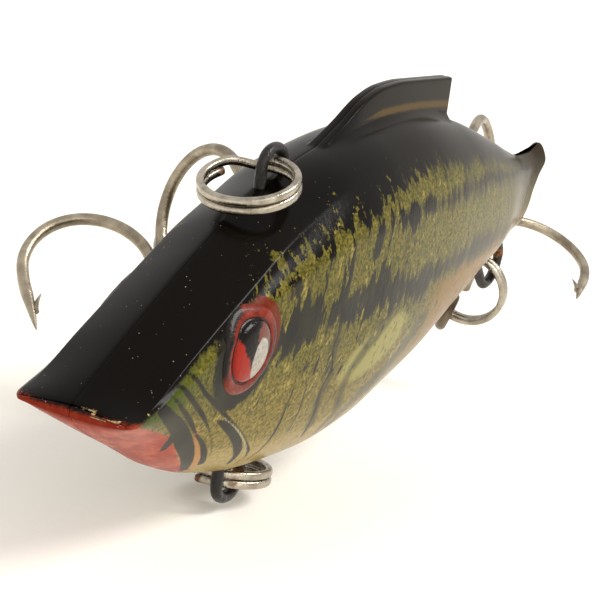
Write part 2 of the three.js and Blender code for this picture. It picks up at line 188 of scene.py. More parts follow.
def sweep(path, radii, section, start=0):
    """A closed tube: the section's (across, up) points carried along the path without twisting."""
    tangents = np.gradient(path, axis=0)
    tangents /= np.linalg.norm(tangents, axis=1)[:, None]
    side = unit(np.cross(tangents[0], [0.123, 0.456, 0.881]))
    rings = []
    for centre, tangent, radius in zip(path, tangents, radii):
        side = unit(side - tangent * side.dot(tangent))
        up = np.cross(tangent, side)
        rings.append(centre + radius * (section[:, :1] * side + section[:, 1:] * up))
    return np.vstack(rings), reversed_faces(tube_faces(len(path), len(section), start))


def angles_round(sides):
    return np.arange(sides) / sides * 2 * math.pi


def round_section(sides, power=2.0, tall=1.0):
    """Points round a circle, or round a squarer loop when the power is above 2."""
    angle = angles_round(sides)
    across, up = [np.sign(v) * np.abs(v) ** (2 / power) for v in (np.cos(angle), np.sin(angle))]
    return np.stack([across, up * tall], 1)


# ---- Materials -----------------------------------------------------------------------------
def tint(code):
    """A hexadecimal sRGB colour as the linear colour that shaders take."""
    parts = [int(code[i : i + 2], 16) / 255 for i in (0, 2, 4)]
    linear = [p / 12.92 if p <= 0.04045 else ((p + 0.055) / 1.055) ** 2.4 for p in parts]
    return (*linear, 1)


class Graph:
    """A material's node tree, built by calls that return sockets."""

    def __init__(self, name):
        self.material = bpy.data.materials.new(name)
        self.material.use_nodes = True
        self.tree = self.material.node_tree
        self.shader = self.tree.nodes["Principled BSDF"]
        self.place = self.add("TexCoord", {}, "Object")

    def add(self, kind, inputs, output=0, **settings):
        node = self.tree.nodes.new("ShaderNode" + kind)
        for key, value in settings.items():
            setattr(node, key, value)
        for key, value in inputs.items():
            self.feed(node.inputs[key], value)
        return node.outputs[output]

    def feed(self, socket, value):
        if isinstance(value, bpy.types.NodeSocket):
            self.tree.links.new(value, socket)
        else:
            socket.default_value = value

    def attribute(self, name):
        return self.add("Attribute", {}, "Fac", attribute_name=name)

    def math(self, operation, a, b=0.0, c=0.0):
        return self.add("Math", {0: a, 1: b, 2: c}, operation=operation)

    def plus(self, a, b):
        return self.math("ADD", a, b)

    def times(self, a, b):
        return self.math("MULTIPLY", a, b)

    def scaled(self, value, by, shift):
        return self.math("MULTIPLY_ADD", value, by, shift)

    def step(self, value, low, high):
        """0 below low, 1 above high, smooth between."""
        inputs = {"Value": value, "From Min": low, "From Max": high}
        return self.add("MapRange", inputs, interpolation_type="SMOOTHSTEP")

    def mix(self, share, a, b):
        return self.add("Mix", {0: share, 6: a, 7: b}, 2, data_type="RGBA")

    def mottled(self, noise, spread, low, high):
        """Two hexadecimal colours mixed by a noise that runs to the spread on either side of 0."""
        return self.mix(self.step(noise, -spread, spread), tint(low), tint(high))

    def over(self, colour, share, code, strength=None):
        """A hexadecimal colour laid over the one below, as far as the share says."""
        share = share if strength is None else self.times(share, strength)
        return self.mix(share, colour, tint(code))

    def edge(self, value, low, high, noise, amount):
        """A step of a value, or of the attribute with that name, roughened by the noise."""
        value = self.attribute(value) if isinstance(value, str) else value
        return self.step(self.plus(value, self.times(noise, amount)), low, high)

    def length(self, a, b):
        return self.math("SQRT", self.plus(self.times(a, a), self.times(b, b)))

    def filtered(self, colour, through):
        settings = {"data_type": "RGBA", "blend_type": "MULTIPLY"}
        return self.add("Mix", {0: 1.0, 6: colour, 7: through}, 2, **settings)

    def mix_value(self, share, a, b):
        return self.plus(a, self.times(share, self.math("SUBTRACT", b, a)))

    def stretched(self, per_mm, turn=0.0):
        """Object coordinates scaled to repeats per millimetre along each axis."""
        scale = tuple(s / MM for s in per_mm)
        inputs = {"Vector": self.place, "Scale": scale, "Rotation": (0, turn, 0)}
        return self.add("Mapping", inputs)

    def noise(self, per_mm, detail=2.0, rough=0.5, turn=0.0):
        """Noise between about -1 and 1, at that many features per millimetre."""
        along = per_mm if isinstance(per_mm, tuple) else (per_mm,) * 3
        inputs = {"Vector": self.stretched(along, turn), "Scale": 1.0}
        inputs.update({"Detail": detail, "Roughness": rough})
        value = self.add("TexNoise", inputs)
        return self.scaled(value, 4.0, -2.0)

    def dots(self, per_mm, size):
        """1 inside small scattered dots, 0 elsewhere."""
        inputs = {"Vector": self.stretched((per_mm,) * 3), "Scale": 1.0}
        distance = self.add("TexVoronoi", inputs, "Distance")
        return self.step(distance, size, size * 0.6)

    def bump(self, height, depth_mm):
        inputs = {"Height": height, "Strength": 1.0, "Distance": depth_mm * MM}
        self.feed(self.shader.inputs["Normal"], self.add("Bump", inputs))

    def finish(self, **inputs):
        for key, value in inputs.items():
            self.feed(self.shader.inputs[key.replace("_", " ")], value)
        return self.material


VARNISH = (0.82, 0.76, 0.55, 1)  # the clear coat has yellowed with age


# ---- Body shape ----------------------------------------------------------------------------
BODY_LENGTH = 68.2
WALL = 1.2
SEAM_GAP = 0.05
CAVITY_START, CAVITY_END = 4.5, 61.5
CAVITY_ROUND = 14  # rings over which the cavity's ends close
BACK_LINE = [
    (0, 0.25), (6, 4.15), (12, 7.7), (17, 10.3), (21, 11.6), (25, 12.7), (31, 13.9), (38, 14.5),
    (46, 13.7), (54, 11.9), (60, 10.3), (63.5, 9.6), (66, 9.7), (69, 10.6),
]
SHOULDER_LINE = [
    (0, -0.2), (4.2, 1), (7.7, 2.5), (10.9, 3.9), (15.8, 6), (20, 7.2), (26, 8), (34, 7.6),
    (44, 7.1), (56, 6.6), (69, 6.3),
]
FACET_EDGE = [(0, -0.05), (2, 0.5), (6, 2.7), (12, 5.95), (16, 8), (20, 9.3), (26, 11), (69, 11)]
FACET_HALF_WIDTH = [(0, 3.5), (1, 3.8), (69, 3.85)]
FACET_START, FACET_FADE = 14, 13  # the facet turns into a round back over this length
KEEL_LINE = [
    (0, -0.35), (1, -1.15), (5.2, -3.3), (8.9, -5.1), (14, -6.7), (20.5, -7.7), (27, -7.9),
    (32.8, -7.3), (37, -6.1), (42, -4.6), (46, -2.9), (50, -1.2), (54.6, 0.6), (60, 1.9), (66, 3),
    (69, 3.6),
]
HALF_WIDTH = [
    (0, 3.55), (0.8, 3.95), (4, 4.15), (9, 4.4), (15, 4.85), (22, 5.35), (29, 5.5), (38, 5.15),
    (48, 4.25), (57, 3.05), (63, 1.9), (66, 1.4), (69, 1.3),
]
FLANK_POWER, FLANK_ROUND = 2.2, 0.58
FIN_TOP = [
    (22.5, 11.2), (25.5, 12.75), (28.5, 14.2), (31.9, 15.9), (34.5, 16.55), (37.9, 16.8),
    (45.7, 16.78),
]
FIN_REAR, FIN_REAR_LEAN = 45.3, 0.3
FIN_CREST, FIN_ROUND, FIN_FLARE, FIN_FILLET = 0.44, 0.14, 0.14, 0.7  # widths, from crest to foot
FIN_FOOT = 0.14  # share of the fin's height at which its fillet starts
TAIL_EDGE = [
    (2.2, 66.4), (3.4, 65.3), (4.8, 64.9), (6.4, 65.2), (7.8, 66.3), (9.2, 68.2), (11, 68.2),
]
TAIL_START = 56
EDGE_ROUND = 0.22
SEAM_DEPTH, SEAM_WIDTH = 0.03, 0.1
TOP_STEPS = 160  # steps of the fine outline above the shoulder
EYE_X, EYE_Z = 11.6, 2.6


def body_lines(x):
    lines = (BACK_LINE, SHOULDER_LINE, KEEL_LINE, HALF_WIDTH)
    return [smooth_line(line, x) for line in lines]


def flank_depth(x, z):
    """0 at the shoulder line, 1 at the keel."""
    _, shoulder, keel, _ = body_lines(x)
    return np.clip((shoulder - z) / (shoulder - keel), 0, 1)


def top_outline(x, lift):
    """Half width and height above the shoulder line; lift is 0 at the shoulder, 1 at the crest."""
    back, shoulder, _, width = body_lines(x)
    angle = lift * math.pi / 2
    round_y, round_z = width * np.cos(angle), shoulder + (back - shoulder) * np.sin(angle)
    edge, height = smooth_line(FACET_HALF_WIDTH, x), smooth_line(FACET_EDGE, x)
    across, down = 2 * (1 - lift), np.clip(1 - 2 * lift, 0, 1)
    bulge = 0.35 * np.sin(down * math.pi / 2) + 0.65 * down**2 * (3 - 2 * down)
    facet_z, flank_z = back - (back - height) * across**1.2, height - (height - shoulder) * down
    on_facet = lift > 0.5
    flat_y = np.where(on_facet, edge * across, edge + (width - edge) * bulge)
    flat_z = np.where(on_facet, facet_z, flank_z)
    fade = np.clip((x - FACET_START) / FACET_FADE, 0, 1)
    facet = 1 - fade**2 * (3 - 2 * fade)
    return round_y + facet * (flat_y - round_y), round_z + facet * (flat_z - round_z)


def flank_y(x, z):
    """Half width of the body at a place on its side."""
    _, _, _, width = body_lines(x)
    depth = flank_depth(x, z)
    low = width * (1 - depth**FLANK_POWER) ** FLANK_ROUND
    lift = np.linspace(0, 1, 60)
    above = [np.interp(zi, *top_outline(xi, lift)[::-1]) for xi, zi in zip(x, z)]
    return np.where(depth > 0, low, np.array(above))


def fin_columns():
    """Sideways place, share of the fin's height and rounding drop, from its crest to its foot."""
    crest = np.array([0, 0.04, 0.1, 0.2, 0.32, FIN_CREST])
    turn = np.linspace(0, math.pi / 2, 6)[1:]
    wall = np.linspace(0, 1, 12)[1:]
    foot = np.linspace(0, math.pi / 2, 9)[1:]
    top = FIN_CREST + FIN_ROUND
    y = [crest, FIN_CREST + FIN_ROUND * np.sin(turn), top + FIN_FLARE * wall,
         top + FIN_FLARE + FIN_FILLET * np.sin(foot)]
    level = np.ones(len(crest) + len(turn))
    lift = np.concatenate([level, 1 - (1 - FIN_FOOT) * wall, FIN_FOOT * (1 - np.sin(foot)) ** 2])
    drop = [0 * crest, FIN_ROUND * (1 - np.cos(turn)), FIN_ROUND * (1 - wall), 0 * foot]
    return np.concatenate(y), lift, np.concatenate(drop)


def fin_height(x, back):
    rise = np.clip(smooth_line(FIN_TOP, x) - back, 0, None)
    return np.where((x > FIN_TOP[0][0]) & (x < FIN_REAR + 0.02), rise, 0)


def half_section(x, upper=48, lower=66):
    """Outer skin of a half section at each x: crest, fin wall, crown and flank down to the keel."""
    x = x[:, None]
    back, shoulder, keel, width = body_lines(x)
    foot_y, lift, drop = fin_columns()
    marks = np.arange(TOP_STEPS + 1)
    top_y, top_z = top_outline(x, np.linspace(1, 0, TOP_STEPS + 1)[None, :])
    for _ in range(6):  # a small round on the facet's edge
        for line in (top_y, top_z):
            line[:, 1:-1] = (line[:, :-2] + 2 * line[:, 1:-1] + line[:, 2:]) / 4
    y0 = foot_y * np.minimum(1, width / 2.2)
    z0 = np.array([np.interp(a, b, c) for a, b, c in zip(y0, top_y, top_z)])
    fin = fin_height(x, back)
    z0 = z0 + fin * lift - drop * np.minimum(1, fin)
    start = np.array([[np.interp(a[-1], b, marks)] for a, b in zip(y0, top_y)])
    places = start + (TOP_STEPS - start) * np.linspace(0, 1, upper + 1)[1:]
    y1, z1 = [
        np.array([np.interp(a, marks, b) for a, b in zip(places, line)]) for line in (top_y, top_z)
    ]
    turn = np.linspace(0, math.pi / 2, lower + 1)[1:]
    depth = np.sin(turn) ** 0.9
    y2 = width * (1 - np.minimum(1, depth) ** FLANK_POWER) ** FLANK_ROUND
    z2 = shoulder - depth * (shoulder - keel)
    y = np.hstack([y0, y1, y2])
    z = np.hstack([z0, z1, z2])
    z = z - SEAM_DEPTH * np.sign(z - shoulder) * np.exp(-((y / SEAM_WIDTH) ** 2))
    lean = np.hstack([FIN_REAR_LEAN * lift * (fin > 0.05), 0 * y1, 0 * y2])
    return y, z, lean


def ring_places():
    front = BODY_LENGTH * np.linspace(0, 1, 300) ** 1.06
    rear = FIN_REAR + np.array([-0.12, -0.05, 0, 0.04, 0.09])
    keep = np.abs(front - FIN_REAR) > 0.2
    return np.sort(np.concatenate([front[keep], rear]))


def outer_skin():
    x = ring_places()
    y, z, lean = half_section(np.maximum(x, 0.02))
    share = np.clip((x - FIN_REAR + 3) / 3, 0, 1)[:, None] * (x < FIN_REAR + 0.03)[:, None]
    x = x[:, None] + lean * share
    tail = np.clip((x - TAIL_START) / (BODY_LENGTH - TAIL_START), 0, 1)
    x = x + tail * (smooth_line(TAIL_EDGE, z) - BODY_LENGTH)
    return np.stack([x, y, z], -1)


def cap(rings, outward):
    """Rings that round a skin's end over and close it on the middle plane."""
    last = rings[-1]
    half = np.maximum(last[:, 1].max(), 0.1)
    caps = []
    for angle in np.linspace(0, math.pi / 2, 6)[1:]:
        inset = EDGE_ROUND * (1 - math.cos(angle))
        ring = last.copy()
        ring[:, 0] += outward * EDGE_ROUND * math.sin(angle)
        ring[:, 1] *= (half - inset) / half
        caps.append(ring)
    rim = caps[-1]
    for share in (0.75, 0.5, 0.25, 0):
        ring = rim.copy()
        ring[:, 1] *= share
        caps.append(ring)
    return caps


def capped(skin):
    skin[:, :, 0] = np.clip(skin[:, :, 0], EDGE_ROUND, None)
    tail_shift = EDGE_ROUND * np.clip((skin[:, :, 0] - TAIL_START) / 12, 0, 1)
    skin[:, :, 0] -= tail_shift
    front = cap(skin[::-1], -1)[::-1]
    return np.concatenate([front, skin, cap(skin, 1)])


def inner_skin(rows, columns):
    """The cavity's wall, ring for ring with the outer skin."""
    x = np.linspace(CAVITY_START, CAVITY_END, rows)
    back, shoulder, keel, width = [line[:, None] for line in body_lines(x)]
    angle = np.linspace(math.pi / 2, -math.pi / 2, columns)
    end = np.minimum(np.arange(rows), np.arange(rows)[::-1])[:, None]
    ease = np.sin(np.clip(end / CAVITY_ROUND, 0, 1) * math.pi / 2)
    y = np.maximum(width - WALL, 0.25) * np.cos(angle) * ease
    up = np.maximum(back - shoulder - WALL, 0.2) * np.sin(angle)
    down = np.maximum(shoulder - keel - WALL, 0.3) * np.sin(angle)
    z = shoulder + np.where(angle > 0, up, down)
    return np.stack([np.repeat(x[:, None], columns, 1), y, z], -1)


def outline(rows, columns):
    """Indices round a grid's edge."""
    top = [(i, 0) for i in range(rows)]
    end = [(rows - 1, j) for j in range(1, columns)]
    bottom = [(i, columns - 1) for i in range(rows - 2, -1, -1)]
    start = [(0, j) for j in range(columns - 2, 0, -1)]
    return [i * columns + j for i, j in top + end + bottom + start]


# ---- Painted pattern -----------------------------------------------------------------------
# Edges are lists of (x, z) on the flank, and strokes are lists of (x, z, half width).
BACK_EDGE = [
    (0, 0), (0.8, 0), (2, 0.3), (3.6, 0.95), (4.9, 1.75), (6.4, 2.65), (7.6, 3.2), (8.8, 3.6),
    (10.4, 4.7), (12.4, 5.5), (14.7, 6.8), (17, 7.6), (19, 7.9), (21.8, 9.1), (25, 9.4), (28, 10.4),
    (31, 10.9), (36, 11.2), (43, 11), (51.6, 10.3), (60, 9), (69, 8.6),
]
MIDDLE_LINE = [
    (23, 7.9), (26.4, 8.3), (29.5, 8.9), (33.4, 9.2), (37.4, 9.1), (42.3, 9.5), (48.4, 9.7), (58, 9),
]
BAND_TOP = [
    (13.5, 2.6), (14.1, 3), (16, 4.3), (17.2, 5.4), (18.9, 4.6), (20.6, 3.8), (21.5, 4.7),
    (24.2, 4.8), (26.5, 5.9), (29, 5.2), (34, 4.9), (39.6, 5), (49, 5.6), (62, 4.9),
]
BAND_LOW = [
    (13.5, 1.8), (15.1, 1.4), (17.6, 0.9), (19, 1.9), (20.5, 2.5), (24, 3), (28.6, 2.8), (34.2, 2.5),
    (37, 3.3), (40.6, 3.7), (49.3, 4), (62, 4.4),
]
GILL_STROKES = [
    [(2.1, 0.9, 0.25), (3, 0.5, 0.4), (4.1, -0.2, 0.45), (6.2, -1.4, 0.55), (8.4, -2.95, 0.6),
     (10, -4.1, 0.5), (11.2, -5.1, 0.4), (12, -5.8, 0.3)],
    [(3.2, 1.3, 0.1), (4.2, 0.9, 0.13), (5.3, 0.1, 0.15), (7, -1, 0.18), (8.8, -2.3, 0.12),
     (10.4, -3.3, 0.18), (11.8, -4.4, 0.25), (12.7, -5.3, 0.28)],
    [(3.9, 1.9, 0.12), (4.6, 1.6, 0.16), (5.6, 0.9, 0.2), (6.9, 0, 0.18), (8.4, -1, 0.16),
     (9.5, -1.8, 0.1), (10.7, -2.8, 0.06), (12.1, -4, 0.07), (12.8, -4.8, 0.04)],
    [(4.9, 2.6, 0.12), (5.5, 2.2, 0.15), (6.2, 1.7, 0.16), (7.5, 0.7, 0.17), (9.4, -0.4, 0.2),
     (11.9, -1.9, 0.15), (14.4, -3.3, 0.12), (16.6, -4.7, 0.14), (17.9, -5.8, 0.14), (17.7, -6.6, 0.1)],
    [(10.5, -1.7, 0.08), (11.6, -2.2, 0.24), (13.2, -3.05, 0.32), (15.1, -4.3, 0.36),
     (16.3, -5.4, 0.33), (16.6, -6.2, 0.2)],
    [(18, 0.8, 0.04), (18.8, -1, 0.09), (19, -2.6, 0.13), (19.4, -4.2, 0.16), (19.4, -5.6, 0.14),
     (18.8, -6.5, 0.1)],
    [(20.4, 0.4, 0.04), (20.7, -1.6, 0.08), (21.3, -3.2, 0.1), (21.6, -4.8, 0.07)],
    [(21.9, 4.2, 0.05), (22.5, 1.2, 0.1), (23.4, -0.5, 0.13), (23.2, -2, 0.16), (24.2, -3.9, 0.18),
     (25.2, -6, 0.16)],
    [(6.1, -1.9, 0.12), (6.6, -2.5, 0.3), (6.9, -3.1, 0.22)],
]
SILVER_STROKE = [
    (11, -1.55, 0.05), (13.5, -2.85, 0.08), (15.4, -4, 0.09), (16.9, -5.1, 0.09), (17.4, -5.9, 0.08),
    (17.3, -6.5, 0.05),
]
RUST_STROKE = [(8.4, -1.9, 0.2), (10.1, -3.5, 0.28), (11.5, -4.7, 0.33), (12.4, -5.6, 0.3)]
SMOKE_STROKES = [
    [(31, 2.6, 0.5), (29.2, 1.3, 0.6), (27.7, -0.1, 0.5), (26.7, -1.6, 0.35), (26.8, -2.8, 0.3),
     (28, -4.6, 0.35), (27.6, -6.2, 0.3)],
    [(22.6, 3, 0.25), (22.9, 0.6, 0.35), (23.7, -1.2, 0.3), (23.6, -2.6, 0.3), (24.8, -4.9, 0.35)],
    [(38, 0.6, 0.6), (34.5, -2.4, 0.7), (31, -4.2, 0.7), (29.4, -6, 0.5)],
]
# The chin's edge is a list of (z, x), and the chips are strokes in space, on the left half.
CHIN_EDGE = [(-5.8, 12.4), (-5, 10.7), (-3.4, 8.3), (-2, 6.1), (-1.3, 4.3), (-0.6, 2.4), (-0.2, 1)]
EYE_RED, EYE_SHADE = (0.3, 0.4, 2.95), (-0.25, -0.4, 3.3)  # a red overspray disc, and a disc of painted shade, round the eye
PALE_PATCH = (29.6, -0.1, 5.4, 2.1, 0.28)  # middle x and z, half length, half height, tilt
GOLD_LINE = [(28, 13.7), (31, 14.35), (35, 14.85), (40, 15), (45.5, 14.85)]
LIP_CHIPS = [
    [(0.1, -0.4, 0.3, 0.06), (0.2, -1.3, 0.35, 0.1), (0.5, -2.2, 0.5, 0.07)],
    [(0.2, -1.4, 0.35, 0.13), (0, -1.5, 0, 0.12)],
    [(0.05, -2.1, 0, 0.06), (0.25, -2.9, 0, 0.1), (0.7, -3.5, 0, 0.08), (1.3, -3.8, 0, 0.09)],
    [(6.4, -4, 3.6, 0.14), (6.5, -3.7, 3.85, 0.08)],
    [(1.8, -3.9, 0.5, 0.08), (1.9, -3.9, 0.2, 0.1)],
]
FAR_OUTSIDE = -20.0
STROKE_STEPS, STROKE_REACH = 70, 3


def stroke_depth(points, stroke):
    """How far each point is inside a painted stroke, in mm; negative outside it."""
    depth = np.full(len(points), FAR_OUTSIDE)
    for x, y, z, half in curve_through(stroke, STROKE_STEPS):
        near = np.abs(points[:, 0] - x) < STROKE_REACH
        gap = np.linalg.norm(points[near] - (x, y, z), axis=1)
        depth[near] = np.maximum(depth[near], half - gap)
    return depth


def strokes_depth(points, strokes):
    return np.maximum.reduce([stroke_depth(points, stroke) for stroke in strokes])


def disc_depth(x, z, disc):
    """How far each place is inside a disc round the eye, given as x and z offset and radius."""
    return disc[2] - np.hypot(x - EYE_X - disc[0], z - EYE_Z - disc[1])


def on_flank(stroke):
    """The stroke's points with their place sideways, so that they lie on the skin."""
    x, z, half = np.array(stroke).T
    return np.stack([x, flank_y(x, z), z, half], 1)


def ink_depth(x, z):
    """How deep each point lies in the dark back, middle line or lateral band."""
    back = z - smooth_line(BACK_EDGE, x)
    line = 0.5 - np.abs(z - smooth_line(MIDDLE_LINE, x)) - np.clip(26 - x, 0, None)
    fade = np.clip((13.8 - x) * 2, 0, None) + np.clip((x - 55) / 3, 0, None)
    band = np.minimum(smooth_line(BAND_TOP, x) - z, z - smooth_line(BAND_LOW, x)) - fade
    return np.maximum.reduce([back, line, band])


def paint_attributes(points, side):
    """What the paint's shader reads at each point of a half's outer skin."""
    x, z = points[:, 0], points[:, 2]
    back, shoulder, keel, _ = body_lines(x)
    low = (z - keel) / (shoulder - keel)
    level = np.where(z < shoulder, low, 1 + (z - shoulder) / (back - shoulder))
    middle_x, middle_z, half_length, half_height, tilt = PALE_PATCH
    across, up = x - middle_x, z - middle_z
    turned = across * math.cos(tilt) + up * math.sin(tilt)
    raised = up * math.cos(tilt) - across * math.sin(tilt)
    patch = 1 - np.hypot(turned / half_length, raised / half_height)
    chip = np.full(len(x), FAR_OUTSIDE)
    if side < 0:
        chip = strokes_depth(points * (1, -1, 1), LIP_CHIPS)
    return {
        "along": x,
        "level": level,
        "ink": ink_depth(x, z),
        "gill": strokes_depth(points, map(on_flank, GILL_STROKES)),
        "silver": stroke_depth(points, on_flank(SILVER_STROKE)),
        "rust": stroke_depth(points, on_flank(RUST_STROKE)),
        "smoke_and_shade": strokes_depth(points, map(on_flank, SMOKE_STROKES)),
        "chin": smooth_line(CHIN_EDGE, z) - x,
        "patch": patch,
        "gold": 0.2 - np.abs(z - smooth_line(GOLD_LINE, x)) - 0.09 * np.clip(34 - x, 0, None),
        "eye_red": disc_depth(x, z, EYE_RED),
        "eye_shade": disc_depth(x, z, EYE_SHADE),
        "chip": chip,
        "bare": np.zeros(len(x)),
    }


def paint_material():
    g = Graph("clear_coated_paint")
    along, level, ink = g.attribute("along"), g.attribute("level"), g.attribute("ink")
    cloud = g.noise(0.35, 3, 0.6)
    fine = g.noise(4.5, 4, 0.65)
    ragged = g.noise((2.4, 2.4, 0.55), 4, 0.7, turn=0.25)
    streak = g.noise((1.15, 1.15, 0.3), 4, 0.62, turn=0.18)
    # Flank: olive green, yellower on the cheek and toward the belly, cream below.
    olive = g.mottled(fine, 0.7, "3a3c18", "7c7536")
    cheek = g.mottled(fine, 0.6, "554f22", "9a8b4a")
    warm = g.edge(level, 0.66, 0.3, cloud, 0.12)
    flank = g.mix(warm, olive, cheek)
    flank = g.over(flank, g.step(along, 9, 3), "41501b", g.step(level, 0.45, 0.9))
    amber = g.times(g.step(along, 36, 42), g.edge(level, 0.75, 0.6, cloud, 0.1))
    flank = g.over(flank, amber, "8a6420", 0.8)
    # The belly's cream is toned darker as painted shade of the underside.
    cream = g.mottled(fine, 0.9, "9a8856", "b5a678")
    under = g.edge(level, 0.26, 0.1, ragged, 0.04)
    under = g.times(under, g.scaled(g.step(along, 32, 42), -0.75, 1.0))
    colour = g.mix(under, flank, cream)
    patch = g.edge("patch", 0, 0.3, fine, 0.05)
    colour = g.over(colour, patch, "9c9a68", 0.85)
    # Painted shade round the pale patch and along the lower flank, darker toward the belly; then the
    # airbrushed smoke strokes.
    smoke_and_shade = g.times(g.step(ragged, 0, 0.9), g.step(level, 0.62, 0.42))
    smoke_and_shade = g.times(g.times(smoke_and_shade, g.step(along, 20, 25)), g.step(g.attribute("patch"), 0.15, -0.1))
    colour = g.over(colour, smoke_and_shade, "403e29", 0.75)
    drift = g.edge("smoke_and_shade", -0.55, 0.25, g.plus(ragged, fine), 0.12)
    colour = g.over(colour, drift, "3d3a28", 0.7)
    # Speckles on the cheek.
    region = g.times(g.step(along, 10, 13), g.step(along, 27, 22))
    region = g.times(region, g.step(level, 0.16, 0.3))
    speck = g.times(g.dots(1.25, 0.34), g.step(g.noise(0.9), -0.1, 0.35))
    colour = g.over(colour, g.times(speck, region), "5a5230", 0.75)
    # Cloudy light and dark mottling from the cheek to the middle of the flank.
    region = g.times(g.times(g.step(along, 4, 8), g.step(along, 44, 34)), g.step(level, 0.2, 0.4))
    gleam = g.edge(g.noise((1.3, 1.3, 0.8), 3, 0.6, turn=0.3), 0.3, 0.85, fine, 0.35)
    colour = g.over(colour, g.times(gleam, region), "b3a465", 0.55)
    mottle = g.edge(g.noise((1.7, 1.7, 1), 3, 0.65), 0.25, 0.75, fine, 0.4)
    colour = g.over(colour, g.times(mottle, region), "34311a", 0.5)
    # Fine dark flecks all over the green.
    fleck = g.step(g.noise((3.2, 3.2, 1.3), 4, 0.7, turn=0.2), 0.28, 0.62)
    fleck = g.times(fleck, g.step(level, 0.2, 0.45))
    colour = g.over(colour, fleck, "2a2818", 0.8)
    # Chin, gill strokes and the painted shade round the eye.
    chin = g.edge("chin", -0.1, 0.12, g.plus(ragged, fine), 0.4)
    salmon = g.mix(g.step(g.noise((0.5, 1.6, 1.6), 3, 0.6), -0.5, 0.7), tint("993322"), tint("ba5a42"))
    lip = g.edge(along, 0.75, 0.25, fine, 0.15)
    colour = g.mix(chin, colour, g.over(salmon, lip, "7a1f10", 0.8))
    rust = g.edge("rust", -0.15, 0.15, fine, 0.1)
    colour = g.over(colour, rust, "b9804f", 0.7)
    # One near-black serves the gill strokes, the dark band and the painted shade round the eye.
    black_ink_and_shade = g.mottled(cloud, 0.8, "1c1b19", "2f2e2a")
    gill = g.edge("gill", -0.05, 0.05, fine, 0.07)
    colour = g.mix(gill, colour, black_ink_and_shade)
    silver = g.step(g.attribute("silver"), -0.04, 0.04)
    colour = g.over(colour, silver, "a9a792")
    # Painted shade round the eye, in the same near-black.
    shade = g.edge("eye_shade", -0.15, 0.1, g.plus(fine, ragged), 0.3)
    colour = g.mix(shade, colour, black_ink_and_shade)
    # Dark back, middle line and lateral band, with brushed edges.
    # The pattern is broken up most behind the eye and turns soft toward the tail.
    reach = g.step(along, 5, 16)
    near = g.times(reach, g.step(along, 36, 24))
    held = g.math("MAXIMUM", ink, g.scaled(near, 1.25, -2.0))
    ink = g.mix_value(g.step(level, 0.3, 0.45), ink, held)
    sway = g.scaled(g.step(along, 44, 22), 1.2, 0.9)
    brushed = g.plus(ink, g.times(g.times(streak, sway), reach))
    brushed = g.plus(brushed, g.times(g.times(ragged, 0.8), near))
    brushed = g.plus(brushed, g.times(fine, 0.16))
    softness = g.scaled(g.step(along, 22, 46), 5.0, 1.0)
    dark = g.step(g.math("DIVIDE", brushed, softness), -0.12, 0.16)
    backing = g.mix(g.step(along, 24, 58), tint("0b0807"), tint("29231e"))
    band = g.step(level, 0.98, 1.12)
    banding = g.over(black_ink_and_shade, g.step(along, 28, 60), "3f3a2c")
    colour = g.mix(dark, colour, g.mix(band, banding, backing))
    red = g.edge("eye_red", 0, 0.12, g.plus(fine, cloud), 0.1)
    red = g.times(red, g.times(g.step(along, EYE_X - 1, EYE_X + 1), g.step(level, 1.36, 1.26)))
    colour = g.over(colour, red, "6e2517", 0.92)
    gold = g.edge("gold", -0.16, 0.1, fine, 0.06)
    colour = g.over(colour, gold, "5e4a1a", 0.75)
    # Toward the tail the colours thin out to a smoky film.
    film = g.mix(g.edge(level, 0.5, 1.5, cloud, 0.2), tint("6b6046"), tint("332b22"))
    colour = g.mix(g.times(g.step(along, 50, 64), 0.85), colour, film)
    colour = g.filtered(colour, VARNISH)
    # Chipped edges, dust and bare plastic inside.
    chip = g.edge("chip", -0.03, 0.04, fine, 0.09)
    colour = g.over(colour, chip, "b79b72")
    dust = g.times(g.dots(2.4, 0.11), g.step(g.noise(0.4), -0.1, 0.4))
    dust = g.times(dust, g.times(g.step(level, 1, 1.1), g.step(along, 30, 10)))
    colour = g.over(colour, dust, "b5aa9b", 0.6)
    bare = g.attribute("bare")
    colour = g.over(colour, bare, "c9c2ab")
    rough = g.scaled(fine, 0.03, 0.24)
    rough = g.plus(rough, g.times(g.plus(chip, bare), 0.3))
    rough_area = g.times(g.step(along, 8, 26), g.step(level, 1.9, 1.5))
    relief = g.times(g.plus(g.times(streak, 0.25), g.times(fine, 0.1)), rough_area)
    g.bump(g.plus(relief, g.times(chip, -1.2)), 0.035)
    return g.finish(Base_Color=colour, Roughness=rough, Specular_IOR_Level=0.06,
                    Coat_Weight=0.035, Coat_Roughness=0.07, Coat_IOR=1.35)


def make_half_shell(name, side, material):
    outer = capped(outer_skin())
    rows, columns = outer.shape[:2]
    outer = outer.reshape(-1, 3)
    inner = inner_skin(rows, columns).reshape(-1, 3)
    painted = paint_attributes(outer, side)
    points = np.vstack([outer, inner])
    points[:, 1] = side * np.maximum(points[:, 1], SEAM_GAP / 2)
    faces = grid_faces(rows, columns)
    faces += reversed_faces(grid_faces(rows, columns, start=len(outer)))
    edge = outline(rows, columns)
    for a, b in zip(edge, edge[1:] + edge[:1]):
        faces.append([b, a, a + len(outer), b + len(outer)])
    if side > 0:
        faces = reversed_faces(faces)
    shell = piece(name + "_painted", points, faces, material, "lure_body", name)
    for key, values in painted.items():
        hidden = np.full(len(inner), 1.0 if key == "bare" else 0.0)
        set_attribute(shell, key, np.concatenate([values, hidden]))


# ---- Eyes ----------------------------------------------------------------------------------
# Distance from the eye's middle and height above the flank, from the ring's edge to the pupil.
EYE_PROFILE = [
    (2.78, -0.2), (2.76, 0.02), (2.66, 0.13), (2.5, 0.17), (2.3, 0.18), (2.12, 0.15), (2.04, 0.08),
    (1.97, 0.08), (1.9, 0.15),
]
EYE_DOME = 0.36  # rise of the pupil's dome above its rim
EYE_SIDES = 72


